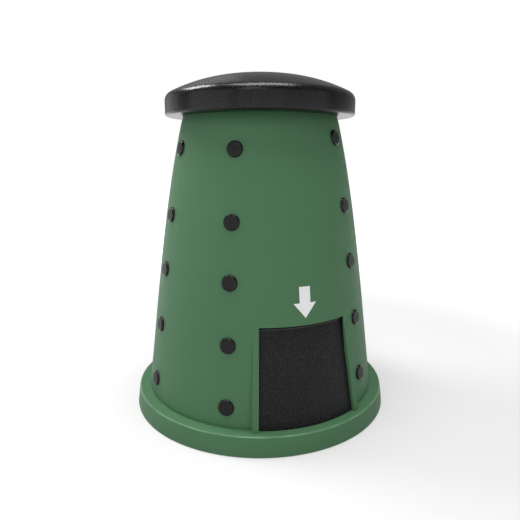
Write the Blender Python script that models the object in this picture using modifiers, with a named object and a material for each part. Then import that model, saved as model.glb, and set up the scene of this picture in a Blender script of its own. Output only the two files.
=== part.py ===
"""Compost bin: a leaning round shell with vent plugs, standing on a base tray,
with a sliding hatch at the foot of its front and a domed lift-off lid.

Metres, +Z up. The origin is on the ground under the middle of the bin, and the hatch faces -Y.
"""

import bpy
import bmesh
from math import asin, atan, cos, hypot, pi, radians, sin, sqrt, tan
from mathutils import Matrix, Vector

# Clearances
SEAT_GAP = 0.0003
SLIDE_GAP = 0.0008

# How finely round forms are divided
SEGMENTS = 60
WALL_ROWS = 6
CROWN_ROWS = 5
PLUG_SIDES = 14
DRAIN_SIDES = 8

# Base tray
LEDGE_WIDTH = 0.0323
TRAY_FLARE = 0.0062
TRAY_HEIGHT = 0.0524
TRAY_WALL = 0.005
TRAY_EDGE_ROUND = 0.006
COLLAR_HEIGHT = 0.016
DRAIN_RADIUS = 0.008
DRAIN_RING_RADIUS = 0.055
DRAIN_RING_PITCH = 0.095
DRAIN_RING_COUNT = 4

# Body shell
BODY_HEIGHT = 0.7701
BODY_WALL = 0.004
FOOT_RADIUS = 0.3344
FOOT_LEAN = radians(7.5)
FOOT_ROUND = 0.05
FOOT_TURN = radians(5.0)
FOOT_LAND = 0.035
MOUTH_RADIUS = 0.2155
MOUTH_LEAN = radians(13.8)

# Hatch and its guides
OPENING_HALF_ANGLE = radians(23.2)
OPENING_HEIGHT = 0.2473
SILL_HEIGHT = 0.008
TUCK_DROP = 0.082
HATCH_OVERLAP = 0.0045
HATCH_TOP_DROP = 0.0065
HATCH_THICKNESS = 0.0035
HATCH_CORNER = 0.030
GUIDE_SPAN = radians(2.7)
GUIDE_LIP = 0.0075
GUIDE_TOP_OVERLAP = 0.051

# Vent plugs: rows shared out between the lowest and the highest, columns counted away from the hatch
PLUG_HEAD_RADIUS = 0.0206
PLUG_HEAD_HEIGHT = 0.006
PLUG_HEAD_ROUND = 0.004
PLUG_STEM_RADIUS = 0.014
PLUG_STEM_PROUD = 0.003
PLUG_ROW_SHARES = (0.0, 0.248, 0.493, 0.725, 1.0)
LOWEST_ROW_RISE = 0.052
HIGHEST_ROW_DROP = 0.0887
COLUMN_PITCH = radians(46.8)
LEFT_COLUMNS = 4
LEFT_MARGIN = radians(11.7)
LEFT_SECOND_RISE = 0.003
RIGHT_COLUMNS = 3
RIGHT_MARGIN = radians(8.5)
RIGHT_RISE = 0.0294

# Lid
LID_RADIUS = 0.2627
LID_HEIGHT = 0.1121
LID_RIM_HEIGHT = 0.039
LID_SHOULDER_ROUND = 0.0246
LID_SHOULDER_ANGLE = radians(64.0)
LID_EDGE_ROUND = 0.006
LID_WALL = 0.004
LID_CROWN_POWER = 2.4
SPIGOT_LENGTH = 0.022
SPIGOT_GAP = 0.0015

# Heights and radii that follow from the sizes above
SEAT_Z = TRAY_HEIGHT + SEAT_GAP
MOUTH_Z = SEAT_Z + BODY_HEIGHT
LID_Z = MOUTH_Z + SEAT_GAP
FOOT_ARC_Z = SEAT_Z + FOOT_ROUND * sin(FOOT_TURN)
FOOT_ARC_RADIUS = FOOT_RADIUS - FOOT_ROUND * cos(FOOT_LEAN)
FOOT_Z = FOOT_ARC_Z + FOOT_ROUND * sin(FOOT_LEAN)
FOOT_SEAT_RADIUS = FOOT_ARC_RADIUS + FOOT_ROUND * cos(FOOT_TURN)
FOOT_INNER_RADIUS = FOOT_SEAT_RADIUS - FOOT_LAND
TRAY_TOP_RADIUS = FOOT_RADIUS + LEDGE_WIDTH
TRAY_FOOT_RADIUS = TRAY_TOP_RADIUS + TRAY_FLARE
COLLAR_RADIUS = FOOT_INNER_RADIUS - SLIDE_GAP
SILL_Z = SEAT_Z + SILL_HEIGHT
SILL_RADIUS = FOOT_ARC_RADIUS + sqrt(FOOT_ROUND ** 2 - (FOOT_ARC_Z - SILL_Z) ** 2)
OPENING_TOP = SILL_Z + OPENING_HEIGHT
TUCK_Z = OPENING_TOP - TUCK_DROP
GUIDE_TOP = TUCK_Z + GUIDE_TOP_OVERLAP
GUIDE_OUTER_ANGLE = OPENING_HALF_ANGLE + GUIDE_SPAN
HATCH_HALF_WIDTH = FOOT_RADIUS * sin(OPENING_HALF_ANGLE) + HATCH_OVERLAP
HATCH_TOP = OPENING_TOP - HATCH_TOP_DROP
PLUG_HOLE_RADIUS = PLUG_STEM_RADIUS + SEAT_GAP
SPIGOT_RADIUS = MOUTH_RADIUS - BODY_WALL / cos(MOUTH_LEAN) - SPIGOT_GAP

GREEN = (0.060, 0.160, 0.080, 1.0)
BLACK = (0.018, 0.018, 0.019, 1.0)


def clear_scene():
    for item in list(bpy.data.objects):
        bpy.data.objects.remove(item, do_unlink=True)


def new_collection(name):
    collection = bpy.data.collections.new(name)
    bpy.context.scene.collection.children.link(collection)
    return collection


def plastic(name, colour, roughness):
    material = bpy.data.materials.new(name)
    material.use_nodes = True
    shader = material.node_tree.nodes["Principled BSDF"]
    shader.inputs["Base Color"].default_value = colour
    shader.inputs["Roughness"].default_value = roughness
    shader.inputs["Metallic"].default_value = 0.0
    return material


def wall_radius(z):
    """Outer radius of the shell: a smooth curve from the foot's lean to the steeper lean of the mouth."""
    span = MOUTH_Z - FOOT_Z
    t = (z - FOOT_Z) / span
    foot_pull = -tan(FOOT_LEAN) * span
    mouth_pull = -tan(MOUTH_LEAN) * span
    return ((2 * t ** 3 - 3 * t ** 2 + 1) * FOOT_RADIUS
            + (t ** 3 - 2 * t ** 2 + t) * foot_pull
            + (3 * t ** 2 - 2 * t ** 3) * MOUTH_RADIUS
            + (t ** 3 - t ** 2) * mouth_pull)


def wall_lean(z):
    step = 0.001
    return atan((wall_radius(z - step) - wall_radius(z + step)) / (2 * step))


def arc(centre, radius, start, end, steps):
    points = []
    for i in range(steps + 1):
        angle = start + (end - start) * i / steps
        points.append((centre[0] + radius * cos(angle), centre[1] + radius * sin(angle)))
    return points


def link(name, mesh, collection, material=None):
    item = bpy.data.objects.new(name, mesh)
    collection.objects.link(item)
    if material:
        mesh.materials.append(material)
    return item


def settle(item):
    """Apply the modifiers, and shade round faces smooth and edges sharp."""
    bpy.context.view_layer.update()
    evaluated = item.evaluated_get(bpy.context.evaluated_depsgraph_get())
    mesh = bpy.data.meshes.new_from_object(evaluated)
    mesh.name = item.name
    item.modifiers.clear()
    item.data = mesh
    mesh.shade_smooth()
    mesh.set_sharp_from_angle(angle=radians(32))
    return item


def turned(name, profile, collection, material=None, closed=False, sides=SEGMENTS):
    """Turn a profile of (radius, height) points about Z."""
    mesh = bpy.data.meshes.new(name)
    edges = [(i, i + 1) for i in range(len(profile) - 1)]
    if closed:
        edges.append((len(profile) - 1, 0))
    mesh.from_pydata([(r, 0.0, z) for r, z in profile], edges, [])
    item = link(name, mesh, collection, material)
    screw = item.modifiers.new("turn", "SCREW")
    screw.steps = sides
    screw.render_steps = sides
    screw.use_merge_vertices = True
    screw.merge_threshold = 0.00001
    return settle(item)


def as_cutter(item):
    item.display_type = "WIRE"
    item.hide_render = True
    return item


def boolean(item, operation, cutter):
    """Cut, or keep what is common, with one object or with a whole collection."""
    modifier = item.modifiers.new(operation.lower(), "BOOLEAN")
    modifier.operation = operation
    modifier.solver = "EXACT"
    if isinstance(cutter, bpy.types.Collection):
        modifier.operand_type = "COLLECTION"
        modifier.collection = cutter
    else:
        modifier.object = cutter


def extruded(name, outline, low, high, collection, material=None):
    """Raise an outline of (x, y) points, counterclockwise from above, from low to high."""
    bm = bmesh.new()
    face = bm.faces.new([bm.verts.new((x, y, low)) for x, y in outline])
    top = bmesh.ops.extrude_face_region(bm, geom=[face])["geom"]
    moved = [part for part in top if isinstance(part, bmesh.types.BMVert)]
    bmesh.ops.translate(bm, verts=moved, vec=(0.0, 0.0, high - low))
    bmesh.ops.recalc_face_normals(bm, faces=bm.faces)
    mesh = bpy.data.meshes.new(name)
    bm.to_mesh(mesh)
    bm.free()
    return link(name, mesh, collection, material)


def make_tray(parts, cutters, material):
    """Round tray: a ledge for the shell, a collar inside its foot and a drained floor on the ground."""
    collar_inner = COLLAR_RADIUS - TRAY_WALL
    slope = atan((TRAY_FOOT_RADIUS - TRAY_TOP_RADIUS) / TRAY_HEIGHT)
    edge = (TRAY_TOP_RADIUS - TRAY_EDGE_ROUND, TRAY_HEIGHT - TRAY_EDGE_ROUND)
    profile = [(0.0, TRAY_WALL), (collar_inner, TRAY_WALL)]
    profile += [(collar_inner, TRAY_HEIGHT + COLLAR_HEIGHT), (COLLAR_RADIUS, TRAY_HEIGHT + COLLAR_HEIGHT)]
    profile += [(COLLAR_RADIUS, TRAY_HEIGHT)]
    profile += arc(edge, TRAY_EDGE_ROUND, pi / 2, slope, 2)
    profile += [(TRAY_FOOT_RADIUS, 0.0), (TRAY_FOOT_RADIUS - TRAY_WALL, 0.0)]
    profile += [(TRAY_TOP_RADIUS - TRAY_WALL, TRAY_HEIGHT - TRAY_WALL)]
    profile += [(COLLAR_RADIUS, TRAY_HEIGHT - TRAY_WALL), (COLLAR_RADIUS, 0.0), (0.0, 0.0)]
    tray = turned("base_tray", profile, parts, material)

    ring_radius = DRAIN_RING_RADIUS
    count = DRAIN_RING_COUNT
    while ring_radius + 2 * DRAIN_RADIUS < collar_inner:
        for i in range(count):
            bm = bmesh.new()
            bmesh.ops.create_cone(bm, cap_ends=True, segments=DRAIN_SIDES, radius1=DRAIN_RADIUS,
                                  radius2=DRAIN_RADIUS, depth=4 * TRAY_WALL)
            mesh = bpy.data.meshes.new("drain_cutter")
            bm.to_mesh(mesh)
            bm.free()
            hole = as_cutter(link("drain_cutter", mesh, cutters))
            turn = 2 * pi * i / count
            hole.location = (ring_radius * cos(turn), ring_radius * sin(turn), TRAY_WALL / 2)
        ring_radius += DRAIN_RING_PITCH
        count += DRAIN_RING_COUNT
    boolean(tray, "DIFFERENCE", cutters)
    settle(tray)


def wall_profile(rows, offset=0.0):
    """Points up the shell's outer side, from the foot to the mouth, moved out by offset."""
    points = []
    for i in range(rows + 1):
        z = FOOT_Z + (MOUTH_Z - FOOT_Z) * i / rows
        points.append((wall_radius(z) + offset, z))
    return points


def make_body(parts, hole_cutters, opening_cutters, material):
    """Thin shell: plain mouth, curved lean, slightly rounded foot with a flat land turned in under it."""
    foot_arc = (FOOT_ARC_RADIUS, FOOT_ARC_Z)
    land_turn = asin((FOOT_ARC_Z - SEAT_Z - BODY_WALL) / (FOOT_ROUND - BODY_WALL))
    mouth_inner = MOUTH_RADIUS - BODY_WALL / cos(MOUTH_LEAN)
    profile = list(reversed(wall_profile(WALL_ROWS)))
    profile += arc(foot_arc, FOOT_ROUND, FOOT_LEAN, -FOOT_TURN, 3)[1:]
    profile += [(FOOT_INNER_RADIUS, SEAT_Z), (FOOT_INNER_RADIUS, SEAT_Z + BODY_WALL)]
    profile += arc(foot_arc, FOOT_ROUND - BODY_WALL, -land_turn, FOOT_LEAN, 2)
    for r, z in wall_profile(WALL_ROWS)[1:-1]:
        lean = wall_lean(z)
        profile.append((r - BODY_WALL * cos(lean), z - BODY_WALL * sin(lean)))
    profile.append((mouth_inner, MOUTH_Z))
    body = turned("body_shell", profile, parts, material, closed=True)
    boolean(body, "DIFFERENCE", hole_cutters)
    boolean(body, "DIFFERENCE", opening_cutters)
    settle(body)


def hatch_line():
    """Where the hatch's front face stands at the sill, in the middle, and how far it leans in per metre.

    Its back clears the sill outside, and its front clears the wall inside at the tuck height.
    """
    back_radius = FOOT_RADIUS - HATCH_THICKNESS
    side_back = sqrt((SILL_RADIUS + SLIDE_GAP) ** 2 - HATCH_HALF_WIDTH ** 2)
    sill_front = side_back + back_radius - sqrt(back_radius ** 2 - HATCH_HALF_WIDTH ** 2) + HATCH_THICKNESS
    inner = wall_radius(TUCK_Z) - BODY_WALL / cos(wall_lean(TUCK_Z)) - SLIDE_GAP
    side_front = sqrt(inner ** 2 - HATCH_HALF_WIDTH ** 2)
    tuck_front = side_front + FOOT_RADIUS - sqrt(FOOT_RADIUS ** 2 - HATCH_HALF_WIDTH ** 2)
    return sill_front, (sill_front - tuck_front) / (TUCK_Z - SILL_Z)


def leaning_slab(name, front_offset, depth, half_width, low, high, collection, material=None, steps=12):
    """Part of a cylinder wall, bent like the shell's foot, leaning in along the hatch's line."""
    sill_front, lean = hatch_line()
    front = FOOT_RADIUS + front_offset
    back = front - depth
    centre = -(sill_front - FOOT_RADIUS)
    front_angle = asin(half_width / front)
    back_angle = asin(half_width / back)
    outline = []
    for i in range(steps + 1):
        angle = -front_angle + 2 * front_angle * i / steps
        outline.append((front * sin(angle), centre - front * cos(angle)))
    for i in range(steps + 1):
        angle = back_angle - 2 * back_angle * i / steps
        outline.append((back * sin(angle), centre - back * cos(angle)))
    slab = extruded(name, outline, low - SILL_Z, high - SILL_Z, collection, material)
    slab.data.transform(Matrix.Shear("XY", 4, (0.0, lean)))
    slab.data.transform(Matrix.Translation((0.0, 0.0, SILL_Z)))
    return slab


def sector(name, start, end, low, high, collection):
    """Wedge about the Z axis between two angles from the hatch, past the outside of the bin."""
    reach = 2 * TRAY_FOOT_RADIUS
    outline = [(0.0, 0.0), (reach * sin(start), -reach * cos(start)), (reach * sin(end), -reach * cos(end))]
    return as_cutter(extruded(name, outline, low, high, collection))


def make_opening_cutters(cutters):
    """The opening's tapered outline, and the parallel slot in which the hatch crosses the wall."""
    sector("opening_cutter", -OPENING_HALF_ANGLE, OPENING_HALF_ANGLE, SILL_Z, OPENING_TOP, cutters)
    half = HATCH_HALF_WIDTH + SLIDE_GAP
    near = -FOOT_RADIUS / 2
    far = -FOOT_RADIUS - BODY_WALL
    outline = [(-half, far), (half, far), (half, near), (-half, near)]
    as_cutter(extruded("slot_cutter", outline, SILL_Z, TUCK_Z, cutters))


def make_hatch(parts, cutters, material):
    """Curved panel that slides up behind the wall; its top corners are rounded."""
    bm = bmesh.new()
    half, low = HATCH_HALF_WIDTH, SEAT_Z
    depth = 2 * FOOT_RADIUS
    outline = [(-half - SEAT_GAP, low - HATCH_CORNER), (half + SEAT_GAP, low - HATCH_CORNER)]
    outline += arc((half - HATCH_CORNER, HATCH_TOP - HATCH_CORNER), HATCH_CORNER, 0.0, pi / 2, 5)
    outline += arc((HATCH_CORNER - half, HATCH_TOP - HATCH_CORNER), HATCH_CORNER, pi / 2, pi, 5)
    face = bm.faces.new([bm.verts.new((x, -depth, z)) for x, z in outline])
    back = bmesh.ops.extrude_face_region(bm, geom=[face])["geom"]
    moved = [part for part in back if isinstance(part, bmesh.types.BMVert)]
    bmesh.ops.translate(bm, verts=moved, vec=(0.0, depth, 0.0))
    bmesh.ops.recalc_face_normals(bm, faces=bm.faces)
    mesh = bpy.data.meshes.new("hatch_outline")
    bm.to_mesh(mesh)
    bm.free()
    outline_tool = as_cutter(link("hatch_outline", mesh, cutters))
    hatch = leaning_slab("hatch_panel", 0.0, HATCH_THICKNESS, half, low, HATCH_TOP + SEAT_GAP,
                         parts, material)
    boolean(hatch, "INTERSECT", outline_tool)
    settle(hatch)
    sill_front, lean = hatch_line()
    pivot = Vector((0.0, -(sill_front - lean * (low - SILL_Z)), low))
    hatch.data.transform(Matrix.Translation(-pivot))
    hatch.location = pivot


def make_guides(parts, cutters, material):
    """Two bars that hold the hatch's edges against the wall, one on each side of the opening."""
    wall = [(0.0, MOUTH_Z)] + list(reversed(wall_profile(WALL_ROWS, SEAT_GAP)))
    foot = arc((FOOT_ARC_RADIUS, FOOT_ARC_Z), FOOT_ROUND, FOOT_LEAN, -FOOT_TURN, 3)[1:]
    wall += [(x + SEAT_GAP, z) for x, z in foot]
    wall += [(FOOT_SEAT_RADIUS + SEAT_GAP, 0.0), (0.0, 0.0)]
    wall_tool = as_cutter(turned("wall_tool", wall, cutters))
    depth = 6 * GUIDE_LIP
    track = as_cutter(leaning_slab("track_tool", SLIDE_GAP, depth, HATCH_HALF_WIDTH + SLIDE_GAP,
                                   0.0, OPENING_TOP, cutters))
    for side, name in ((-1, "left"), (1, "right")):
        start, end = sorted((side * OPENING_HALF_ANGLE, side * GUIDE_OUTER_ANGLE))
        wedge = sector(f"guide_sector_{name}", start, end, SEAT_Z, GUIDE_TOP, cutters)
        guide = leaning_slab(f"hatch_guide_{name}", SLIDE_GAP + GUIDE_LIP, depth, FOOT_RADIUS / 2,
                             SEAT_Z - SEAT_GAP, GUIDE_TOP + SEAT_GAP, parts, material)
        boolean(guide, "INTERSECT", wedge)
        boolean(guide, "DIFFERENCE", wall_tool)
        boolean(guide, "DIFFERENCE", track)
        settle(guide)


def plug_frame(angle, z):
    """Place on the shell: origin on its outer face, local Z straight out of the wall."""
    lean = wall_lean(z)
    radius = wall_radius(z)
    origin = Vector((radius * sin(angle), -radius * cos(angle), z))
    outward = Vector((sin(angle) * cos(lean), -cos(angle) * cos(lean), sin(lean)))
    return Matrix.Translation(origin) @ outward.to_track_quat("Z", "Y").to_matrix().to_4x4()


def plug_places():
    """Name, angle from the hatch and height of every plug."""
    low = SEAT_Z + LOWEST_ROW_RISE
    high = MOUTH_Z - HIGHEST_ROW_DROP
    columns = []
    for i in range(LEFT_COLUMNS):
        angle = -(GUIDE_OUTER_ANGLE + LEFT_MARGIN + i * COLUMN_PITCH)
        columns.append((f"left_{i + 1}", angle, LEFT_SECOND_RISE if i % 2 else 0.0))
    for i in range(RIGHT_COLUMNS):
        columns.append((f"right_{i + 1}", GUIDE_OUTER_ANGLE + RIGHT_MARGIN + i * COLUMN_PITCH, RIGHT_RISE))
    for column, angle, rise in columns:
        for row, share in zip("abcde", PLUG_ROW_SHARES):
            yield f"{column}{row}", angle, low + share * (high - low) + rise


def make_plugs(parts, cutters, material):
    """Push-in vent plugs, each in its own hole, and the cutters for those holes."""
    back = SEAT_GAP
    front = back + PLUG_HEAD_HEIGHT
    stem_end = -BODY_WALL - PLUG_STEM_PROUD
    profile = [(0.0, front), (PLUG_HEAD_RADIUS - PLUG_HEAD_ROUND, front)]
    profile += [(PLUG_HEAD_RADIUS, front - PLUG_HEAD_ROUND), (PLUG_HEAD_RADIUS, back)]
    profile += [(PLUG_STEM_RADIUS, back), (PLUG_STEM_RADIUS, stem_end), (0.0, stem_end)]
    hole = [(0.0, front), (PLUG_HOLE_RADIUS, front), (PLUG_HOLE_RADIUS, 3 * stem_end), (0.0, 3 * stem_end)]
    pattern = turned("plug_pattern", profile, cutters, material, sides=PLUG_SIDES)
    hole_pattern = turned("hole_pattern", hole, cutters, sides=PLUG_SIDES)
    for label, angle, height in plug_places():
        place = plug_frame(angle, height)
        plug = link(f"vent_plug_{label}", pattern.data, parts)
        plug.matrix_world = place
        cutter = as_cutter(link(f"hole_{label}", hole_pattern.data, cutters))
        cutter.matrix_world = place
    bpy.data.objects.remove(pattern, do_unlink=True)
    bpy.data.objects.remove(hole_pattern, do_unlink=True)


def crown_height(r):
    """Height of the dome's outer face above the lid's seat."""
    edge_radius = LID_RADIUS - LID_SHOULDER_ROUND * (1 - cos(LID_SHOULDER_ANGLE))
    edge_height = LID_RIM_HEIGHT + LID_SHOULDER_ROUND * sin(LID_SHOULDER_ANGLE)
    return LID_HEIGHT - (LID_HEIGHT - edge_height) * (r / edge_radius) ** LID_CROWN_POWER


def make_lid(parts, material):
    """Domed lid in one skin: crown, shoulder, upright rim, flat underside and a short spigot."""
    shoulder = (LID_RADIUS - LID_SHOULDER_ROUND, LID_RIM_HEIGHT)
    crown_edge = LID_RADIUS - LID_SHOULDER_ROUND * (1 - cos(LID_SHOULDER_ANGLE))
    edge = (LID_RADIUS - LID_EDGE_ROUND, LID_EDGE_ROUND)
    spigot_inner = SPIGOT_RADIUS - LID_WALL
    radii = [crown_edge * i / CROWN_ROWS for i in range(CROWN_ROWS)]
    profile = [(r, crown_height(r)) for r in radii]
    profile += arc(shoulder, LID_SHOULDER_ROUND, LID_SHOULDER_ANGLE, 0.0, 3)
    profile += arc(edge, LID_EDGE_ROUND, 0.0, -pi / 2, 2)
    profile += [(SPIGOT_RADIUS, 0.0), (SPIGOT_RADIUS, -SPIGOT_LENGTH), (spigot_inner, -SPIGOT_LENGTH)]
    profile += [(spigot_inner, LID_WALL), (edge[0], LID_WALL)]
    profile += arc(edge, LID_EDGE_ROUND - LID_WALL, -pi / 2, 0.0, 1)[1:]
    profile += arc(shoulder, LID_SHOULDER_ROUND - LID_WALL, 0.0, LID_SHOULDER_ANGLE, 2)
    for r in reversed(radii[1:]):
        step = 0.001
        fall = (crown_height(r) - crown_height(r + step)) / step
        size = hypot(1.0, fall)
        profile.append((r - LID_WALL * fall / size, crown_height(r) - LID_WALL / size))
    profile += [(0.0, LID_HEIGHT - LID_WALL)]
    lid = turned("lid", profile, parts, material)
    lid.location = (0.0, 0.0, LID_Z)


def main():
    clear_scene()
    parts = new_collection("compost_bin")
    drain_cutters = new_collection("drain_cutters")
    hole_cutters = new_collection("hole_cutters")
    opening_cutters = new_collection("opening_cutters")
    tools = new_collection("tools")
    make_tray(parts, drain_cutters, plastic("tray_green", GREEN, 0.42))
    make_plugs(parts, hole_cutters, plastic("plug_black", BLACK, 0.45))
    make_opening_cutters(opening_cutters)
    make_body(parts, hole_cutters, opening_cutters, plastic("shell_green", GREEN, 0.40))
    make_hatch(parts, tools, plastic("hatch_black", BLACK, 0.55))
    make_guides(parts, tools, plastic("guide_green", GREEN, 0.42))
    make_lid(parts, plastic("lid_black", BLACK, 0.38))


main()
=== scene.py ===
from math import asin, atan, cos, hypot, pi, radians, sin, sqrt, tan

import bmesh
import bpy
import numpy as np
from mathutils import Matrix, Vector


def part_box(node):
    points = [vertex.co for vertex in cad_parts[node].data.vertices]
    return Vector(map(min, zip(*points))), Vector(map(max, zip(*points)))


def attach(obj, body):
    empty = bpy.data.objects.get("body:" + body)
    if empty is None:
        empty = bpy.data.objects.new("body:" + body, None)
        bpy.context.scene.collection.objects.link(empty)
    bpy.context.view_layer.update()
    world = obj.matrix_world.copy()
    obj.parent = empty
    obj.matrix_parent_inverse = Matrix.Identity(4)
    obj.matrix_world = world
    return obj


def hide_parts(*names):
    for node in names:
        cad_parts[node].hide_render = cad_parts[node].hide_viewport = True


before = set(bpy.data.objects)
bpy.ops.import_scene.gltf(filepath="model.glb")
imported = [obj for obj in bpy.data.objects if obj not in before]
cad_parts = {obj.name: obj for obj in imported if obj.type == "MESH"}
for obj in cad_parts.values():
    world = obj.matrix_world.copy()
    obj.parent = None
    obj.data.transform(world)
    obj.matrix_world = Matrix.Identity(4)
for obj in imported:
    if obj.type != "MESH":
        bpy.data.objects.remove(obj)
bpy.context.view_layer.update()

# A compost bin. Lengths are in metres, Z is up through its middle, and the hatch faces -Y.

# Corners read from the frame
TRAY_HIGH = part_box("base_tray")[1]
BODY_LOW, BODY_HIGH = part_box("body_shell")
LID_LOW, LID_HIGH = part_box("lid")
HATCH_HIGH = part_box("hatch_panel")[1]
GUIDE_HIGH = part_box("hatch_guide_right")[1]
PLUG_NODES = sorted(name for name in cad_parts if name.startswith("vent_plug"))

# Clearances: between pieces that rest on each other, and between pieces that slide
SEAT_GAP = 0.0003
SLIDE_GAP = 0.0008

# Base tray. Its outer side leans in by the flare. Along the middle of its upper rounding it has
# a painted highlight, which lies about the highlight's share of the rounding in from both faces.
TRAY_FOOT_RADIUS = TRAY_HIGH.x
TRAY_FLARE = 0.0062
TRAY_TOP_RADIUS = TRAY_FOOT_RADIUS - TRAY_FLARE
TRAY_HEIGHT = BODY_LOW.z - SEAT_GAP
TRAY_WALL = 0.005
TRAY_EDGE_ROUND = 0.0046
TRAY_SMALL_ROUND = 0.0015
TRAY_HIGHLIGHT_SHARE = 0.3
TRAY_HIGHLIGHT_RADIUS = TRAY_TOP_RADIUS - TRAY_EDGE_ROUND * TRAY_HIGHLIGHT_SHARE
TRAY_HIGHLIGHT_HEIGHT = TRAY_HEIGHT - TRAY_EDGE_ROUND * TRAY_HIGHLIGHT_SHARE
COLLAR_TOP = TRAY_HIGH.z

# Drain holes in the tray's floor. The innermost ring has DRAIN_RING_COUNT of them, and each ring
# outside it as many more. The tool that cuts them goes well past both faces.
DRAIN_RADIUS = 0.008
DRAIN_DEPTH = 4 * TRAY_WALL
DRAIN_RING_RADIUS = 0.055
DRAIN_RING_PITCH = 0.095
DRAIN_RING_COUNT = 4

# Body shell. The wall goes from the foot's lean to the mouth's, over a rounded foot, which turns
# in under itself to a flat land.
BODY_WALL = 0.004
SEAT_Z = BODY_LOW.z
MOUTH_Z = BODY_HIGH.z
MOUTH_RADIUS = 0.2155
MOUTH_LEAN = radians(13.8)
MOUTH_INNER_RADIUS = MOUTH_RADIUS - BODY_WALL / cos(MOUTH_LEAN)
MOUTH_CHAMFER = 0.0012
FOOT_RADIUS = 0.3344
FOOT_LEAN = radians(7.5)
FOOT_ROUND = 0.05
FOOT_TURN = radians(5.0)
FOOT_LAND = 0.035
FOOT_ARC_Z = SEAT_Z + FOOT_ROUND * sin(FOOT_TURN)
FOOT_ARC_RADIUS = FOOT_RADIUS - FOOT_ROUND * cos(FOOT_LEAN)
FOOT_Z = FOOT_ARC_Z + FOOT_ROUND * sin(FOOT_LEAN)
FOOT_SEAT_RADIUS = FOOT_ARC_RADIUS + FOOT_ROUND * cos(FOOT_TURN)
FOOT_INNER_RADIUS = FOOT_SEAT_RADIUS - FOOT_LAND
COLLAR_RADIUS = FOOT_INNER_RADIUS - SLIDE_GAP

# Opening and hatch. From TUCK_Z up the hatch runs behind the whole wall.
OPENING_HALF_ANGLE = radians(23.2)
SILL_HEIGHT = 0.008
SILL_Z = SEAT_Z + SILL_HEIGHT
SILL_RADIUS = FOOT_ARC_RADIUS + sqrt(FOOT_ROUND ** 2 - (FOOT_ARC_Z - SILL_Z) ** 2)
HATCH_HALF_WIDTH = HATCH_HIGH.x
HATCH_TOP = HATCH_HIGH.z
HATCH_TOP_GAP = 0.0065
OPENING_TOP = HATCH_TOP + HATCH_TOP_GAP
HATCH_THICKNESS = 0.0035
HATCH_CORNER = 0.030
HATCH_EDGE_ROUND = 0.0016

# Guides. They reach above TUCK_Z by the overlap. They stand prouder than the plain solids by the
# crown, to show at their tops too. They and the hatch's track are cut from slabs of TRACK_DEPTH.
GUIDE_OUTER_ANGLE = radians(25.9)
GUIDE_TOP = GUIDE_HIGH.z
GUIDE_OVERLAP = 0.051
TUCK_Z = GUIDE_TOP - GUIDE_OVERLAP
GUIDE_LIP = 0.0075
GUIDE_CROWN = 0.0014
GUIDE_EDGE_ROUND = 0.0028
TRACK_DEPTH = 6 * GUIDE_LIP

# Plugs
PLUG_HEAD_RADIUS = 0.0206
PLUG_HEAD_HEIGHT = 0.006
PLUG_HEAD_ROUND = 0.0052
PLUG_FACE_RADIUS = PLUG_HEAD_RADIUS - PLUG_HEAD_ROUND
PLUG_STEM_RADIUS = 0.014
PLUG_STEM_PROUD = 0.003
PLUG_HOLE_DEPTH = PLUG_HEAD_HEIGHT + 2 * BODY_WALL + PLUG_STEM_PROUD

# Lid: an upright rim, a round shoulder, a crown and a spigot. Heights count from its seat.
LID_Z = MOUTH_Z + SEAT_GAP
LID_RADIUS = LID_HIGH.x
LID_HEIGHT = LID_HIGH.z - LID_Z
LID_WALL = 0.004
LID_EDGE_ROUND = 0.006
LID_RIM_HEIGHT = 0.039
LID_SHOULDER_ROUND = 0.0246
LID_SHOULDER_ANGLE = radians(64.0)
LID_CROWN_RADIUS = LID_RADIUS - LID_SHOULDER_ROUND * (1 - cos(LID_SHOULDER_ANGLE))
LID_CROWN_BASE = LID_RIM_HEIGHT + LID_SHOULDER_ROUND * sin(LID_SHOULDER_ANGLE)
LID_CROWN_POWER = 2.4
SPIGOT_DEPTH = LID_Z - LID_LOW.z
SPIGOT_GAP = 0.0015
SPIGOT_RADIUS = MOUTH_INNER_RADIUS - SPIGOT_GAP

# Printed arrow, a little left of the middle of the front
ARROW_TOP = 0.404
ARROW_NECK = 0.3635
ARROW_TIP = 0.326
ARROW_SHAFT_HALF = 0.0147
ARROW_HEAD_HALF = 0.031
ARROW_SHIFT = -0.0035
ARROW_PROUD = 0.0001
ARROW_THICKNESS = 0.0002

# Into how many steps round forms are divided
SIDES = 180
PLUG_SIDES = 40
DRAIN_SIDES = 24
WALL_ROWS = 48
SLAB_STEPS = 48
SMALL_STEPS = 3
TRAY_EDGE_STEPS = 8
FOOT_STEPS = 6
HATCH_CORNER_STEPS = 12
PLUG_EDGE_STEPS = 6
LID_CROWN_STEPS = 40
LID_SHOULDER_STEPS = 14
LID_SHOULDER_INNER_STEPS = 8
LID_EDGE_STEPS = 10
LID_EDGE_INNER_STEPS = 4
ARROW_COLUMNS = 10
ARROW_ROWS = 12

# Edges sharper than this are shaded crisp, or rounded
CRISP_ANGLE = radians(38.0)
HATCH_ROUNDED_ANGLE = radians(40.0)
GUIDE_ROUNDED_ANGLE = radians(30.0)

# Points that agree to this many decimals are one, and a slope is measured over this step
MERGE_DECIMALS = 5
MERGE_DISTANCE = 10 ** -MERGE_DECIMALS
SLOPE_STEP = 0.001

# Studio. The floor glows to the camera and in reflections, less near the bin than far from it,
# and not where the bin covers it. The world is white to the camera. Its white backdrop fades over
# a range of the Z of a direction, and above it the world is as dim as the studio.
WHITE = (1.0, 1.0, 1.0, 1.0)
FLOOR_SIZE = 24.0
FLOOR_DROP = 0.0005
FLOOR_COLOUR = (0.48, 0.48, 0.48, 1.0)
FLOOR_GLOW = (0.26, 1.0)
FLOOR_GLOW_DISTANCES = (0.9, 2.4)
FLOOR_COVERED_WIDTH = 0.03
BACKDROP_FADE = (0.01, 0.07)
STUDIO_LEVEL = 0.30

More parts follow.
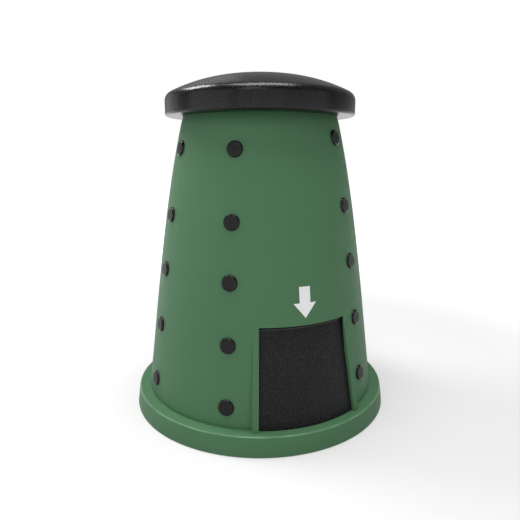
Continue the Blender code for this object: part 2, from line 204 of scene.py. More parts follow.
# Camera, solved from the photo's outlines. An azimuth is counted to the right from the front.
CAMERA_AZIMUTH = radians(-22.72)
CAMERA_DISTANCE = 1.4309
CAMERA_HEIGHT = 0.7214
CAMERA_PITCH = radians(12.19)
CAMERA_SENSOR = 36.0
FOCAL_PIXELS = 488.8
PHOTO_PIXELS = 520.0


def new_object(name, data):
    item = bpy.data.objects.new(name, data)
    bpy.context.scene.collection.objects.link(item)
    return item


def object_from(name, bm):
    """Object with the faces of a bmesh, which is freed."""
    mesh = bpy.data.meshes.new(name)
    bm.to_mesh(mesh)
    bm.free()
    return new_object(name, mesh)


def remove(*items):
    for item in items:
        bpy.data.objects.remove(item, do_unlink=True)


def arc(centre, radius, start, end, steps):
    """Points of an arc from one angle to another, both ends included."""
    points = []
    for i in range(steps + 1):
        angle = start + (end - start) * i / steps
        points.append((centre[0] + radius * cos(angle), centre[1] + radius * sin(angle)))
    return points


def settle(item):
    """Apply the modifiers, and shade round faces smooth and edges crisp."""
    bpy.context.view_layer.update()
    evaluated = item.evaluated_get(bpy.context.evaluated_depsgraph_get())
    mesh = bpy.data.meshes.new_from_object(evaluated)
    mesh.name = item.name
    item.modifiers.clear()
    item.data = mesh
    mesh.shade_smooth()
    mesh.set_sharp_from_angle(angle=CRISP_ANGLE)


def turned(name, profile, closed=False, sides=SIDES):
    """Turn a profile of (radius, height) points about Z."""
    mesh = bpy.data.meshes.new(name)
    edges = [(i, i + 1) for i in range(len(profile) - 1)]
    if closed:
        edges.append((len(profile) - 1, 0))
    mesh.from_pydata([(r, 0.0, z) for r, z in profile], edges, [])
    item = new_object(name, mesh)
    screw = item.modifiers.new("turn", "SCREW")
    screw.steps = sides
    screw.render_steps = sides
    screw.use_merge_vertices = True
    screw.merge_threshold = MERGE_DISTANCE
    settle(item)
    return item


def extruded(name, outline, low, high):
    """Raise an outline of (x, y) points from low to high."""
    bm = bmesh.new()
    face = bm.faces.new([bm.verts.new((x, y, low)) for x, y in outline])
    top = bmesh.ops.extrude_face_region(bm, geom=[face])["geom"]
    moved = [part for part in top if isinstance(part, bmesh.types.BMVert)]
    bmesh.ops.translate(bm, verts=moved, vec=(0.0, 0.0, high - low))
    bmesh.ops.recalc_face_normals(bm, faces=bm.faces)
    return object_from(name, bm)


def sector(name, start, end, low, high):
    """Wedge about Z between two angles from the front, wider than the bin."""
    reach = 2 * TRAY_FOOT_RADIUS
    outline = [(0.0, 0.0)]
    outline += [(reach * sin(angle), -reach * cos(angle)) for angle in (start, end)]
    return extruded(name, outline, low, high)


def cylinders(name, radius, depth, sides, places):
    """One object with a cylinder at each place, along its Z and centred on it."""
    bm = bmesh.new()
    for place in places:
        bmesh.ops.create_cone(bm, cap_ends=True, segments=sides, radius1=radius, radius2=radius,
                              depth=depth, matrix=place)
    return object_from(name, bm)


def boolean(item, operation, tool):
    modifier = item.modifiers.new(operation.lower(), "BOOLEAN")
    modifier.operation = operation
    modifier.solver = "EXACT"
    modifier.object = tool


def bevelled(item, width, limit_method):
    bevel = item.modifiers.new("edges", "BEVEL")
    bevel.width = width
    bevel.segments = SMALL_STEPS
    bevel.limit_method = limit_method
    return bevel


def round_all(item, width, least_angle):
    """Round every edge sharper than an angle."""
    bevelled(item, width, "ANGLE").angle_limit = least_angle


def round_outside(item, width, least_angle):
    """Round the sharp edges that stand clear of the shell's wall by more than the width."""
    bm = bmesh.new()
    bm.from_mesh(item.data)
    weight = bm.edges.layers.float.new("bevel_weight_edge")
    for edge in bm.edges:
        stands_out = [hypot(v.co.x, v.co.y) - wall_radius(max(v.co.z, FOOT_Z)) for v in edge.verts]
        if min(stands_out) > width and edge.calc_face_angle(0.0) > least_angle:
            edge[weight] = 1.0
    bm.to_mesh(item.data)
    bm.free()
    bevelled(item, width, "WEIGHT")


def wall_radius(z):
    """Outer radius of the shell, on a curve between the lean of the foot and of the mouth."""
    span = MOUTH_Z - FOOT_Z
    t = (z - FOOT_Z) / span
    foot_pull = -tan(FOOT_LEAN) * span
    mouth_pull = -tan(MOUTH_LEAN) * span
    return ((2 * t ** 3 - 3 * t ** 2 + 1) * FOOT_RADIUS
            + (t ** 3 - 2 * t ** 2 + t) * foot_pull
            + (3 * t ** 2 - 2 * t ** 3) * MOUTH_RADIUS
            + (t ** 3 - t ** 2) * mouth_pull)


def wall_lean(z):
    """Angle by which the shell's wall leans in."""
    fall = wall_radius(z - SLOPE_STEP) - wall_radius(z + SLOPE_STEP)
    return atan(fall / (2 * SLOPE_STEP))


def wall_profile(offset=0.0):
    """Points of the shell's outer face from the foot up to the mouth."""
    points = []
    for i in range(WALL_ROWS + 1):
        z = FOOT_Z + (MOUTH_Z - FOOT_Z) * i / WALL_ROWS
        points.append((wall_radius(z) + offset, z))
    return points


def foot_profile(radius, start, end):
    """Points of the foot's rounding, or of an arc inside it about the same centre."""
    return arc((FOOT_ARC_RADIUS, FOOT_ARC_Z), radius, start, end, FOOT_STEPS)


def hatch_line():
    """Where the middle of the hatch's front stands at the sill, and its lean in per metre."""
    half = HATCH_HALF_WIDTH
    back_radius = FOOT_RADIUS - HATCH_THICKNESS
    side_back = sqrt((SILL_RADIUS + SLIDE_GAP) ** 2 - half ** 2)
    middle_back = side_back + back_radius - sqrt(back_radius ** 2 - half ** 2)
    sill_front = middle_back + HATCH_THICKNESS
    inner = wall_radius(TUCK_Z) - BODY_WALL / cos(wall_lean(TUCK_Z)) - SLIDE_GAP
    side_front = sqrt(inner ** 2 - half ** 2)
    tuck_front = side_front + FOOT_RADIUS - sqrt(FOOT_RADIUS ** 2 - half ** 2)
    return sill_front, (sill_front - tuck_front) / (TUCK_Z - SILL_Z)


def leaning_slab(name, front_offset, depth, half_width, low, high):
    """Part of a cylinder wall, bent like the shell's foot, leaning in along the hatch's line."""
    sill_front, lean = hatch_line()
    front = FOOT_RADIUS + front_offset
    centre = FOOT_RADIUS - sill_front
    outline = []
    for radius, side in ((front, 1), (front - depth, -1)):
        half_angle = asin(half_width / radius)
        for i in range(SLAB_STEPS + 1):
            angle = side * (2 * half_angle * i / SLAB_STEPS - half_angle)
            outline.append((radius * sin(angle), centre - radius * cos(angle)))
    slab = extruded(name, outline, low - SILL_Z, high - SILL_Z)
    slab.data.transform(Matrix.Shear("XY", 4, (0.0, lean)))
    slab.data.transform(Matrix.Translation((0.0, 0.0, SILL_Z)))
    return slab


def plug_place(node):
    """Front centre and outward turn of a plug, whose solid is thinnest along its axis."""
    points = np.array([tuple(v.co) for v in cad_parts[node].data.vertices])
    points = np.unique(np.round(points, MERGE_DECIMALS), axis=0)
    centre = points.mean(axis=0)
    axis = np.linalg.svd(points - centre)[2][-1]
    if axis[0] * centre[0] + axis[1] * centre[1] < 0:
        axis = -axis
    front = centre + axis * ((points - centre) @ axis).max()
    turn = Vector(axis).to_track_quat("Z", "Y").to_matrix().to_4x4()
    return Matrix.Translation(Vector(front)) @ turn


def drain_places():
    """Middles of the drain holes, in rings on the tray's floor inside its collar."""
    places = []
    radius = DRAIN_RING_RADIUS
    count = DRAIN_RING_COUNT
    while radius + 2 * DRAIN_RADIUS < COLLAR_RADIUS - TRAY_WALL:
        for i in range(count):
            turn = 2 * pi * i / count
            middle = (radius * cos(turn), radius * sin(turn), TRAY_WALL / 2)
            places.append(Matrix.Translation(middle))
        radius += DRAIN_RING_PITCH
        count += DRAIN_RING_COUNT
    return places


def make_tray(material):
    """Turned tray: a floor with drain holes, a collar, a ledge and an outer side."""
    small = TRAY_SMALL_ROUND
    slope = atan(TRAY_FLARE / TRAY_HEIGHT)
    collar_inner = COLLAR_RADIUS - TRAY_WALL
    collar_inner_edge = (collar_inner + small, COLLAR_TOP - small)
    collar_outer_edge = (COLLAR_RADIUS - small, COLLAR_TOP - small)
    upper_edge = (TRAY_TOP_RADIUS - TRAY_EDGE_ROUND, TRAY_HEIGHT - TRAY_EDGE_ROUND)
    lower_edge = (TRAY_FOOT_RADIUS - small, small)
    profile = [(0.0, TRAY_WALL), (collar_inner, TRAY_WALL)]
    profile += arc(collar_inner_edge, small, pi, pi / 2, SMALL_STEPS)
    profile += arc(collar_outer_edge, small, pi / 2, 0.0, SMALL_STEPS)
    profile += [(COLLAR_RADIUS, TRAY_HEIGHT)]
    profile += arc(upper_edge, TRAY_EDGE_ROUND, pi / 2, slope, TRAY_EDGE_STEPS)
    profile += arc(lower_edge, small, slope, -pi / 2, SMALL_STEPS)
    profile += [(TRAY_FOOT_RADIUS - TRAY_WALL, 0.0)]
    profile += [(TRAY_TOP_RADIUS - TRAY_WALL, TRAY_HEIGHT - TRAY_WALL)]
    profile += [(COLLAR_RADIUS, TRAY_HEIGHT - TRAY_WALL), (COLLAR_RADIUS, 0.0), (0.0, 0.0)]
    tray = turned("tray_moulding", profile)
    drains = cylinders("drain_tool", DRAIN_RADIUS, DRAIN_DEPTH, DRAIN_SIDES, drain_places())
    boolean(tray, "DIFFERENCE", drains)
    settle(tray)
    remove(drains)
    tray.data.materials.append(material)
    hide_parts("base_tray")
    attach(tray, "bin")


def make_shell(material):
    """Turned wall with the holes for the plugs, the opening and the hatch's slot."""
    inner_round = FOOT_ROUND - BODY_WALL
    land_turn = asin((FOOT_ARC_Z - SEAT_Z - BODY_WALL) / inner_round)
    profile = [(MOUTH_INNER_RADIUS + MOUTH_CHAMFER, MOUTH_Z)]
    profile += [(MOUTH_RADIUS - MOUTH_CHAMFER, MOUTH_Z)]
    profile += list(reversed(wall_profile()))[1:]
    profile += foot_profile(FOOT_ROUND, FOOT_LEAN, -FOOT_TURN)[1:]
    profile += [(FOOT_INNER_RADIUS, SEAT_Z), (FOOT_INNER_RADIUS, SEAT_Z + BODY_WALL)]
    profile += foot_profile(inner_round, -land_turn, FOOT_LEAN)
    for r, z in wall_profile()[1:-1]:
        lean = wall_lean(z)
        profile.append((r - BODY_WALL * cos(lean), z - BODY_WALL * sin(lean)))
    shell = turned("shell_moulding", profile, closed=True)
    sunk = Matrix.Translation((0.0, 0.0, -PLUG_HOLE_DEPTH / 2))
    hole_places = [plug_place(node) @ sunk for node in PLUG_NODES]
    holes = cylinders("plug_hole_tool", PLUG_STEM_RADIUS + SEAT_GAP, PLUG_HOLE_DEPTH, PLUG_SIDES,
                      hole_places)
    opening = sector("opening_tool", -OPENING_HALF_ANGLE, OPENING_HALF_ANGLE, SILL_Z, OPENING_TOP)
    slot = leaning_slab("slot_tool", SLIDE_GAP, TRACK_DEPTH, HATCH_HALF_WIDTH + SLIDE_GAP,
                        SILL_Z, TUCK_Z)
    for tool in (holes, opening, slot):
        boolean(shell, "DIFFERENCE", tool)
    settle(shell)
    remove(holes, opening, slot)
    shell.data.materials.append(material)
    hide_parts("body_shell")
    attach(shell, "bin")


def make_hatch(material):
    """Leaning slab, with its upper corners rounded by an outline that clears the rest."""
    half = HATCH_HALF_WIDTH
    below = SEAT_Z - HATCH_CORNER
    corner_x = half - HATCH_CORNER
    corner_z = HATCH_TOP - HATCH_CORNER
    outline = [(-half - SEAT_GAP, below), (half + SEAT_GAP, below)]
    outline += arc((corner_x, corner_z), HATCH_CORNER, 0.0, pi / 2, HATCH_CORNER_STEPS)
    outline += arc((-corner_x, corner_z), HATCH_CORNER, pi / 2, pi, HATCH_CORNER_STEPS)
    tool = extruded("hatch_outline_tool", outline, 0.0, 2 * FOOT_RADIUS)
    tool.data.transform(Matrix.Rotation(pi / 2, 4, "X"))
    hatch = leaning_slab("hatch_moulding", 0.0, HATCH_THICKNESS, half, SEAT_Z,
                         HATCH_TOP + SEAT_GAP)
    boolean(hatch, "INTERSECT", tool)
    round_all(hatch, HATCH_EDGE_ROUND, HATCH_ROUNDED_ANGLE)
    settle(hatch)
    remove(tool)
    hatch.data.materials.append(material)
    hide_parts("hatch_panel")
    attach(hatch, "hatch")


def make_guides(material):
    """Bars beside the opening, cut to lie on the shell's wall and to let the hatch past."""
    wall = [(0.0, MOUTH_Z)] + list(reversed(wall_profile(SEAT_GAP)))
    wall += [(r + SEAT_GAP, z) for r, z in foot_profile(FOOT_ROUND, FOOT_LEAN, -FOOT_TURN)[1:]]
    wall += [(FOOT_SEAT_RADIUS + SEAT_GAP, 0.0), (0.0, 0.0)]
    wall_tool = turned("wall_tool", wall)
    track_tool = leaning_slab("track_tool", SLIDE_GAP, TRACK_DEPTH, HATCH_HALF_WIDTH + SLIDE_GAP,
                              0.0, OPENING_TOP)
    for side, name in ((-1, "left"), (1, "right")):
        start, end = sorted((side * OPENING_HALF_ANGLE, side * GUIDE_OUTER_ANGLE))
        wedge = sector("guide_tool", start, end, SEAT_Z, GUIDE_TOP)
        guide = leaning_slab(f"guide_{name}", SLIDE_GAP + GUIDE_LIP + GUIDE_CROWN, TRACK_DEPTH,
                             FOOT_RADIUS / 2, SEAT_Z - SEAT_GAP, GUIDE_TOP + SEAT_GAP)
        boolean(guide, "INTERSECT", wedge)
        boolean(guide, "DIFFERENCE", wall_tool)
        boolean(guide, "DIFFERENCE", track_tool)
        settle(guide)
        round_outside(guide, GUIDE_EDGE_ROUND, GUIDE_ROUNDED_ANGLE)
        settle(guide)
        remove(wedge)
        guide.data.materials.append(material)
        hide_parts(f"hatch_guide_{name}")
        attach(guide, "bin")
    remove(wall_tool, track_tool)


def make_plugs(material):
    """Push-in plugs: a flat face with a rounded edge, and a stem.

    Local Z is out of the wall, 0 at the face.
    """
    back = -PLUG_HEAD_HEIGHT
    stem_end = back - SEAT_GAP - BODY_WALL - PLUG_STEM_PROUD
    edge = (PLUG_FACE_RADIUS, -PLUG_HEAD_ROUND)
    profile = [(0.0, 0.0)] + arc(edge, PLUG_HEAD_ROUND, pi / 2, 0.0, PLUG_EDGE_STEPS)
    profile += [(PLUG_HEAD_RADIUS, back), (PLUG_STEM_RADIUS, back)]
    profile += [(PLUG_STEM_RADIUS, stem_end), (0.0, stem_end)]
    pattern = turned("plug_pattern", profile, sides=PLUG_SIDES)
    pattern.data.materials.append(material)
    for node in PLUG_NODES:
        plug = new_object(node.replace("vent_plug", "plug"), pattern.data)
        plug.matrix_world = plug_place(node)
        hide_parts(node)
        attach(plug, "bin")
    remove(pattern)


def crown_height(r):
    """Height of the crown's outer face above the lid's seat."""
    fall = (LID_HEIGHT - LID_CROWN_BASE) * (r / LID_CROWN_RADIUS) ** LID_CROWN_POWER
    return LID_HEIGHT - fall


def make_lid(material):
    """Turned lid, drawn down its outer face, round the spigot and back along its inner face."""
    shoulder = (LID_RADIUS - LID_SHOULDER_ROUND, LID_RIM_HEIGHT)
    edge = (LID_RADIUS - LID_EDGE_ROUND, LID_EDGE_ROUND)
    spigot_inner = SPIGOT_RADIUS - LID_WALL
    radii = [LID_CROWN_RADIUS * i / LID_CROWN_STEPS for i in range(LID_CROWN_STEPS)]
    profile = [(r, crown_height(r)) for r in radii]
    profile += arc(shoulder, LID_SHOULDER_ROUND, LID_SHOULDER_ANGLE, 0.0, LID_SHOULDER_STEPS)
    profile += arc(edge, LID_EDGE_ROUND, 0.0, -pi / 2, LID_EDGE_STEPS)
    profile += [(SPIGOT_RADIUS, 0.0), (SPIGOT_RADIUS, -SPIGOT_DEPTH)]
    profile += [(spigot_inner, -SPIGOT_DEPTH), (spigot_inner, LID_WALL), (edge[0], LID_WALL)]
    profile += arc(edge, LID_EDGE_ROUND - LID_WALL, -pi / 2, 0.0, LID_EDGE_INNER_STEPS)[1:]
    profile += arc(shoulder, LID_SHOULDER_ROUND - LID_WALL, 0.0, LID_SHOULDER_ANGLE,
                   LID_SHOULDER_INNER_STEPS)
    for r in reversed(radii[1:]):
        fall = (crown_height(r) - crown_height(r + SLOPE_STEP)) / SLOPE_STEP
        size = hypot(1.0, fall)
        profile.append((r - LID_WALL * fall / size, crown_height(r) - LID_WALL / size))
    profile += [(0.0, LID_HEIGHT - LID_WALL)]
    lid = turned("lid_moulding", profile)
    lid.location = (0.0, 0.0, LID_Z)
    lid.data.materials.append(material)
    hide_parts("lid")
    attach(lid, "lid")


def print_on_wall(bm, start, end):
    """Grid of faces over the shell's face between two level lines, each (height, half width)."""
    grid = []
    for j in range(ARROW_ROWS + 1):
        z, half = (a + (b - a) * j / ARROW_ROWS for a, b in zip(start, end))
        radius = wall_radius(z)
        row = []
        for i in range(ARROW_COLUMNS + 1):
            angle = (-half + 2 * half * i / ARROW_COLUMNS + ARROW_SHIFT) / radius
            proud = radius + ARROW_PROUD
            row.append(bm.verts.new((proud * sin(angle), -proud * cos(angle), z)))
        grid.append(row)
    for upper, lower in zip(grid, grid[1:]):
        for i in range(ARROW_COLUMNS):
            bm.faces.new((upper[i], lower[i], lower[i + 1], upper[i + 1]))


def make_arrow(material):
    """White arrow over the hatch, printed on the shell's face and pointing down."""
    bm = bmesh.new()
    print_on_wall(bm, (ARROW_TOP, ARROW_SHAFT_HALF), (ARROW_NECK, ARROW_SHAFT_HALF))
    print_on_wall(bm, (ARROW_NECK, ARROW_HEAD_HALF), (ARROW_TIP, 0.0))
    bmesh.ops.remove_doubles(bm, verts=bm.verts, dist=MERGE_DISTANCE)
    bmesh.ops.recalc_face_normals(bm, faces=bm.faces)
    arrow = object_from("arrow_print", bm)
    solid = arrow.modifiers.new("thickness", "SOLIDIFY")
    solid.thickness = ARROW_THICKNESS
    solid.offset = 1.0
    settle(arrow)
    arrow.data.materials.append(material)
    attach(arrow, "bin")


class Nodes:
    """Short calls for the nodes of one node tree."""

    def __init__(self, tree):
        self.tree = tree

    def node(self, kind, **settings):
        made = self.tree.nodes.new(kind)
        for key, value in settings.items():
            setattr(made, key, value)
        return made

    def feed(self, socket, value):
        """Link an output to a socket, or set the socket to a plain number or colour."""
        if isinstance(value, bpy.types.NodeSocket):
            self.tree.links.new(value, socket)
        else:
            socket.default_value = value

    def maths(self, operation, *values):
        made = self.node("ShaderNodeMath", operation=operation)
        for socket, value in zip(made.inputs, values):
            self.feed(socket, value)
        return made.outputs["Value"]

    def mapped(self, source, to, over=(0.0, 1.0), interpolation="LINEAR"):
        """Take the source from the range that it runs over to another, and no further."""
        made = self.node("ShaderNodeMapRange", interpolation_type=interpolation)
        self.feed(made.inputs["Value"], source)
        for name, value in zip(("From Min", "From Max", "To Min", "To Max"), (*over, *to)):
            self.feed(made.inputs[name], value)
        return made.outputs["Result"]

    def length(self, vector):
        made = self.node("ShaderNodeVectorMath", operation="LENGTH")
        self.feed(made.inputs[0], vector)
        return made.outputs["Value"]

    def height(self, vector):
        axes = self.node("ShaderNodeSeparateXYZ")
        self.feed(axes.inputs["Vector"], vector)
        return axes.outputs["Z"]


class Shader(Nodes):
    """A Principled material, and short calls for patterns in the object's own coordinates.

    The colour and the roughness given here stand until a node feeds them.
    """

    def __init__(self, name, colour, roughness, specular=0.5):
        self.material = bpy.data.materials.new(name)
        self.material.use_nodes = True
        super().__init__(self.material.node_tree)
        self.surface = self.tree.nodes["Principled BSDF"].inputs
        self.surface["Base Color"].default_value = colour
        self.surface["Roughness"].default_value = roughness
        self.surface["Specular IOR Level"].default_value = specular
        self.place = self.node("ShaderNodeTexCoord").outputs["Object"]

    def set(self, name, source):
        self.feed(self.surface[name], source)

    def noise(self, scale, detail):
        made = self.node("ShaderNodeTexNoise")
        made.inputs["Scale"].default_value = scale
        made.inputs["Detail"].default_value = detail
        self.feed(made.inputs["Vector"], self.place)
        return made.outputs["Fac"]

    def pebbles(self, size):
        """Rounded grains of a size: 0 in the middle of each, and high in the grooves."""
        made = self.node("ShaderNodeTexVoronoi", feature="SMOOTH_F1")
        made.inputs["Scale"].default_value = 1 / size
        made.inputs["Smoothness"].default_value = 0.35
        self.feed(made.inputs["Vector"], self.place)
        return made.outputs["Distance"]

    def pebble_colour(self, pebbles, shaded_groove, top):
        # Darker grooves and lighter tops are painted shade and light on the grain.
        raised = self.mapped(pebbles, to=(1.0, 0.0), over=(0.15, 0.6))
        return self.mix_colour(raised, shaded_groove, top)

    def around_axis(self):
        """Distance from the object's Z axis."""
        flat = self.node("ShaderNodeVectorMath", operation="MULTIPLY")
        self.feed(flat.inputs[0], self.place)
        self.feed(flat.inputs[1], (1.0, 1.0, 0.0))
        return self.length(flat.outputs["Vector"])

    def nearness(self, height, near, far, radius=None):
        """1 within near of a level, or of a level ring, and 0 from far of it on."""
        offset = self.node("ShaderNodeCombineXYZ")
        if radius is not None:
            self.feed(offset.inputs["X"], self.maths("SUBTRACT", self.around_axis(), radius))
        self.feed(offset.inputs["Y"], self.maths("SUBTRACT", self.height(self.place), height))
        distance = self.length(offset.outputs["Vector"])
        return self.mapped(distance, to=(1.0, 0.0), over=(near, far))

    def mix_colour(self, factor, first, second):
        made = self.node("ShaderNodeMix", data_type="RGBA")
        self.feed(made.inputs["Factor"], factor)
        # The colour sockets go by number, because others of the node have the same names.
        self.feed(made.inputs[6], first)
        self.feed(made.inputs[7], second)
        return made.outputs[2]

    def darkened(self, colour, share):
        made = self.node("ShaderNodeVectorMath", operation="SCALE")
        self.feed(made.inputs[0], colour)
        self.feed(made.inputs["Scale"], share)
        return made.outputs["Vector"]

    def bump(self, height, distance, normal=None):
        made = self.node("ShaderNodeBump")
        made.inputs["Distance"].default_value = distance
        self.feed(made.inputs["Height"], height)
        if normal is not None:
            self.feed(made.inputs["Normal"], normal)
        return made.outputs["Normal"]


def srgb(red, green, blue):
    """Colour written as 0 to 255 screen values."""
    channels = []
    for value in (red, green, blue):
        share = value / 255
        low = share <= 0.04045
        channels.append(share / 12.92 if low else ((share + 0.055) / 1.055) ** 2.4)
    return (*channels, 1.0)


def green_plastic(name, highlight_edge=None):
    """Satin green polyethylene: faint shade changes, slight waviness and a fine orange peel.

    Along an edge, given as a radius and a height, it has a painted highlight: lighter in colour,
    and smoother.
    """
    shader = Shader(name, srgb(68, 106, 75), roughness=0.55, specular=0.2)
    patches = shader.noise(scale=5.0, detail=3.0)
    colour = shader.mix_colour(patches, srgb(66, 104, 73), srgb(70, 108, 77))
    satin = shader.noise(scale=38.0, detail=4.0)
    roughness = shader.mapped(satin, to=(0.50, 0.60), over=(0.3, 0.7))
    if highlight_edge is not None:
        radius, height = highlight_edge
        highlight_band = shader.nearness(height, near=0.0009, far=0.0026, radius=radius)
        breaks = shader.mapped(shader.noise(scale=22.0, detail=4.0), to=(0.3, 1.0),
                               over=(0.35, 0.6))
        broken_highlight = shader.maths("MULTIPLY", highlight_band, breaks)
        gloss_gain = 0.3
        # Painted highlight: a lighter colour along the edge, broken up by noise.
        colour = shader.mix_colour(broken_highlight, colour, srgb(98, 135, 105))
        roughness = shader.maths("MULTIPLY_ADD", highlight_band, -gloss_gain, roughness)
    shader.set("Base Color", colour)
    shader.set("Roughness", roughness)
    waves = shader.bump(shader.noise(scale=9.0, detail=1.0), distance=0.0016)
    peel = shader.bump(shader.noise(scale=420.0, detail=2.0), distance=0.00006, normal=waves)
    shader.set("Normal", peel)
    return shader.material


def grained_black(name, shaded_groove, top, grain, depth, roughness, specular, highlight_height=None):
    """Black plastic with a pebbled grain of the given size and depth, in metres.

    Along one level line it may have a painted highlight: lighter, smoother and without grain.
    """
    shader = Shader(name, top, roughness, specular)
    pebbles = shader.pebbles(grain)
    fine = shader.noise(scale=2.4 / grain, detail=3.0)
    colour = shader.pebble_colour(pebbles, shaded_groove, top)
    uneven_roughness = shader.mapped(fine, to=(roughness - 0.06, roughness + 0.10),
                                     over=(0.3, 0.7))
    if highlight_height is not None:
        highlight_line = shader.nearness(highlight_height, near=0.0014, far=0.0024)
        gloss_gain = 0.2
        uneven_roughness = shader.maths("MULTIPLY_ADD", highlight_line, -gloss_gain, uneven_roughness)
        # Painted highlight: a lighter colour along the level line.
        colour = shader.mix_colour(highlight_line, colour, srgb(66, 66, 67))
        pebbles = shader.maths("MULTIPLY", pebbles, shader.maths("SUBTRACT", 1.0, highlight_line))
    dust = shader.mapped(shader.noise(scale=7.0, detail=3.0), to=(0.82, 1.0), over=(0.3, 0.7))
    shader.set("Base Color", shader.darkened(colour, dust))
    shader.set("Roughness", uneven_roughness)
    coarse_bump = shader.bump(pebbles, distance=-depth)
    shader.set("Normal", shader.bump(fine, distance=depth / 3, normal=coarse_bump))
    return shader.material


def plug_black():
    """Black plastic with a fine grain on the face, worn smooth round its rounded edge."""
    shader = Shader("plug_black", srgb(18, 18, 19), roughness=0.5, specular=0.24)
    grain = 1 / 260
    blend = 0.001
    grained = shader.mapped(shader.around_axis(), to=(1.0, 0.0),
                            over=(PLUG_FACE_RADIUS - blend, PLUG_FACE_RADIUS + blend))
    pebbles = shader.pebbles(grain)
    shader.set("Base Color", shader.pebble_colour(pebbles, srgb(3, 3, 4), srgb(15, 15, 16)))
    shader.set("Roughness", shader.mapped(grained, to=(0.12, 0.50)))
    on_face = shader.maths("MULTIPLY", pebbles, grained)
    shader.set("Normal", shader.bump(on_face, distance=-0.0009))
    return shader.material


def white_print():
    """Thin white ink, a little uneven."""
    shader = Shader("white_print", srgb(226, 224, 226), roughness=0.5)
    cover = shader.noise(scale=60.0, detail=3.0)
    shader.set("Base Color", shader.mix_colour(cover, srgb(220, 218, 221), srgb(230, 229, 230)))
    shader.set("Normal", shader.bump(shader.noise(scale=500.0, detail=2.0), distance=0.00003))
    return shader.material


def backdrop_rays(nodes, reach=1.0):
    """1 for the rays that see the backdrop.

    They are the camera's, and as far as it reaches those by way of gloss or glass.
    """
    rays = nodes.node("ShaderNodeLightPath").outputs
    mirrored = nodes.maths("MAXIMUM", rays["Is Glossy Ray"], rays["Is Transmission Ray"])
    within = nodes.maths("MULTIPLY", mirrored, reach)
    return nodes.maths("MAXIMUM", rays["Is Camera Ray"], within)


def studio_floor():
    """Pale floor that takes shadows. It turns white farther out, and stays dark under the bin."""
    material = bpy.data.materials.new("studio_floor")
    material.use_nodes = True
    nodes = Nodes(material.node_tree)
    nodes.tree.nodes.clear()
    distance = nodes.length(nodes.node("ShaderNodeTexCoord").outputs["Object"])
    lift = nodes.mapped(distance, to=FLOOR_GLOW, over=FLOOR_GLOW_DISTANCES,
                        interpolation="SMOOTHSTEP")
    seen_lift = nodes.maths("MULTIPLY", backdrop_rays(nodes), lift)
    uncovered = nodes.mapped(distance, to=(0.0, 1.0),
                             over=(TRAY_TOP_RADIUS - FLOOR_COVERED_WIDTH, TRAY_TOP_RADIUS))
    diffuse = nodes.node("ShaderNodeBsdfDiffuse")
    diffuse.inputs["Color"].default_value = FLOOR_COLOUR
    glow = nodes.node("ShaderNodeEmission")
    glow.inputs["Color"].default_value = WHITE
    nodes.feed(glow.inputs["Strength"], nodes.maths("MULTIPLY", seen_lift, uncovered))
    total = nodes.node("ShaderNodeAddShader")
    nodes.feed(total.inputs[0], diffuse.outputs["BSDF"])
    nodes.feed(total.inputs[1], glow.outputs["Emission"])
    output = nodes.node("ShaderNodeOutputMaterial")
    nodes.feed(output.inputs["Surface"], total.outputs["Shader"])
    return material


def make_floor():
    bm = bmesh.new()
    bmesh.ops.create_grid(bm, x_segments=1, y_segments=1, size=FLOOR_SIZE / 2)
    floor = object_from("studio_floor", bm)
    floor.location = (0.0, 0.0, -FLOOR_DROP)
    floor.data.materials.append(studio_floor())


def make_world():
    """White to the camera, and to gloss a white backdrop low down. The rest is dimmer."""
    world = bpy.data.worlds.new("studio")
    bpy.context.scene.world = world
    world.use_nodes = True
    nodes = Nodes(world.node_tree)
    height = nodes.height(nodes.node("ShaderNodeTexCoord").outputs["Generated"])
    low = nodes.mapped(height, to=(1.0, 0.0), over=BACKDROP_FADE, interpolation="SMOOTHSTEP")
    background = nodes.tree.nodes["Background"].inputs
    background["Color"].default_value = WHITE
    nodes.feed(background["Strength"],
               nodes.mapped(backdrop_rays(nodes, low), to=(STUDIO_LEVEL, 1.0)))


def around(azimuth, distance, height):
    """Place at an azimuth, a distance from Z and a height."""
    return Vector((distance * sin(azimuth), -distance * cos(azimuth), height))


def make_camera():
    data = bpy.data.cameras.new("camera")
    data.sensor_width = CAMERA_SENSOR
    data.lens = CAMERA_SENSOR * FOCAL_PIXELS / PHOTO_PIXELS
    camera = new_object("camera", data)
    camera.location = around(CAMERA_AZIMUTH, CAMERA_DISTANCE, CAMERA_HEIGHT)
    camera.rotation_euler = (pi / 2 - CAMERA_PITCH, 0.0, CAMERA_AZIMUTH)
    bpy.context.scene.camera = camera


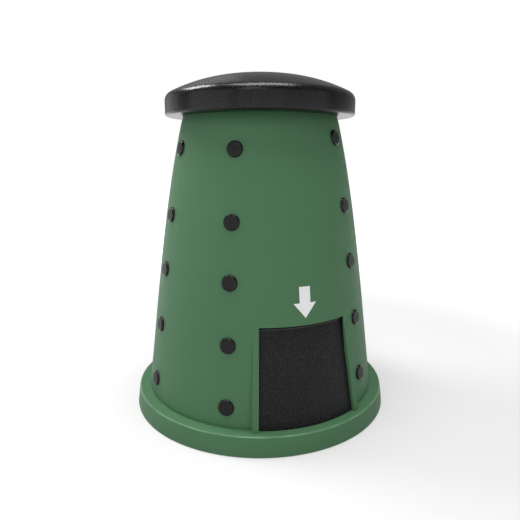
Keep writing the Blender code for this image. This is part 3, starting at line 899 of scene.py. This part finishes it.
def softbox(name, azimuth, distance, height, aim, size, power):
    """Rectangular lamp at an azimuth in degrees from the camera's, aimed at a height on Z."""
    data = bpy.data.lights.new(name, "AREA")
    data.shape = "RECTANGLE"
    data.size, data.size_y = size
    data.energy = power
    lamp = new_object(name, data)
    lamp.location = around(CAMERA_AZIMUTH + radians(azimuth), distance, height)
    direction = Vector((0.0, 0.0, aim)) - lamp.location
    lamp.rotation_euler = direction.to_track_quat("-Z", "Y").to_euler()


def make_lights():
    softbox("key", azimuth=-113.0, distance=1.75, height=2.8, aim=0.45, size=(0.95, 0.95),
            power=48.0)
    softbox("top", azimuth=20.0, distance=0.20, height=4.9, aim=0.9, size=(2.9, 2.3),
            power=196.0)
    for name, azimuth, power in (("front_left", -58.0, 24.5), ("front", 0.0, 18.5),
                                 ("front_right", 54.0, 14.0)):
        softbox(name, azimuth, distance=3.0, height=1.3, aim=0.75, size=(3.0, 2.4), power=power)
    softbox("upper_front", azimuth=-8.0, distance=2.4, height=2.75, aim=0.8, size=(1.2, 0.6),
            power=10.0)
    softbox("back_left", azimuth=-122.0, distance=2.8, height=0.9, aim=0.6, size=(1.8, 1.6),
            power=4.0)
    softbox("back_high", azimuth=-160.0, distance=3.2, height=3.1, aim=0.9, size=(1.5, 1.1),
            power=1.8)


green = green_plastic("green_polyethylene")
make_tray(green_plastic("green_tray", highlight_edge=(TRAY_HIGHLIGHT_RADIUS, TRAY_HIGHLIGHT_HEIGHT)))
make_shell(green)
make_guides(green)
make_hatch(grained_black("hatch_black", shaded_groove=srgb(17, 17, 18), top=srgb(39, 39, 40),
                         grain=0.0046, depth=0.0012, roughness=0.42, specular=0.16,
                         highlight_height=HATCH_TOP - HATCH_EDGE_ROUND))
make_plugs(plug_black())
make_lid(grained_black("lid_black", shaded_groove=srgb(6, 6, 7), top=srgb(22, 22, 23),
                       grain=0.0052, depth=0.00025, roughness=0.2, specular=0.23))
make_arrow(white_print())
make_floor()
make_world()
make_camera()
make_lights()

bpy.context.scene.view_settings.view_transform = "Standard"
